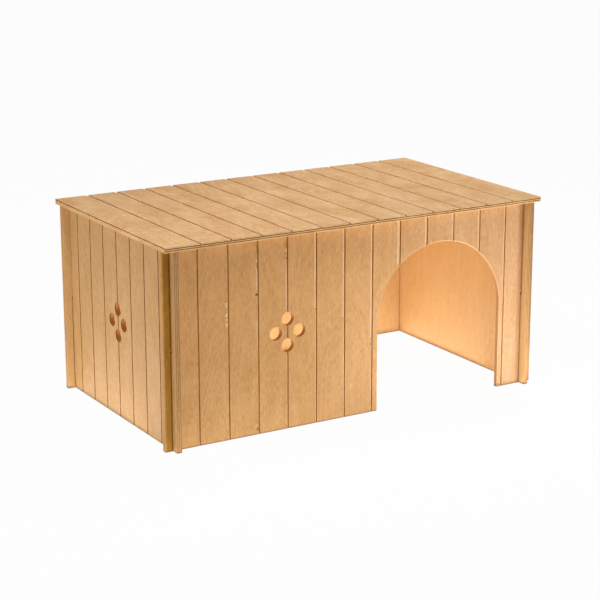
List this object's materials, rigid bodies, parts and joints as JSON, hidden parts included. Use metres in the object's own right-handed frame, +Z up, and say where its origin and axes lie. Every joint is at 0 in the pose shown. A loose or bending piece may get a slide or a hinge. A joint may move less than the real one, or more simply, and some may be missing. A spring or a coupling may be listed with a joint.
{
  "type": "rabbit house",
  "caption": "Open-bottomed plywood shelter for a small pet, with grooved walls crossing in corner slots, an arched doorway, round vent holes and a flat lift-off roof.",
  "frame": {"origin": "on the floor under the middle of the roof", "axes": "+X along the front wall to the right as seen from outside, the front wall with the doorway faces -Y, +Z up"},
  "size_m": [0.53, 0.306, 0.2463],
  "materials": {
    "front_birch": "bare sanded birch plywood, satin",
    "side_birch": "bare sanded birch plywood, satin",
    "roof_birch": "bare sanded birch plywood, satin",
    "batten_wood": "planed softwood, matt",
    "screw_steel": "zinc plated, satin"
  },
  "bodies": {
    "walls": {"front_panel": "front_birch", "back_panel": "front_birch", "left_side_panel": "side_birch", "right_side_panel": "side_birch"},
    "roof": {"roof_panel": "roof_birch", "front_roof_batten": "batten_wood", "rear_roof_batten": "batten_wood", "front_batten_screw_1": "screw_steel", "front_batten_screw_2": "screw_steel", "front_batten_screw_3": "screw_steel", "front_batten_screw_4": "screw_steel", "rear_batten_screw_1": "screw_steel", "rear_batten_screw_2": "screw_steel", "rear_batten_screw_3": "screw_steel", "rear_batten_screw_4": "screw_steel"}
  },
  "joints": [
    {"name": "roof_lift", "type": "slide", "parent": "walls", "child": "roof", "axis": [0, 0, 1], "range_m": [0, 0.15]}
  ]
}
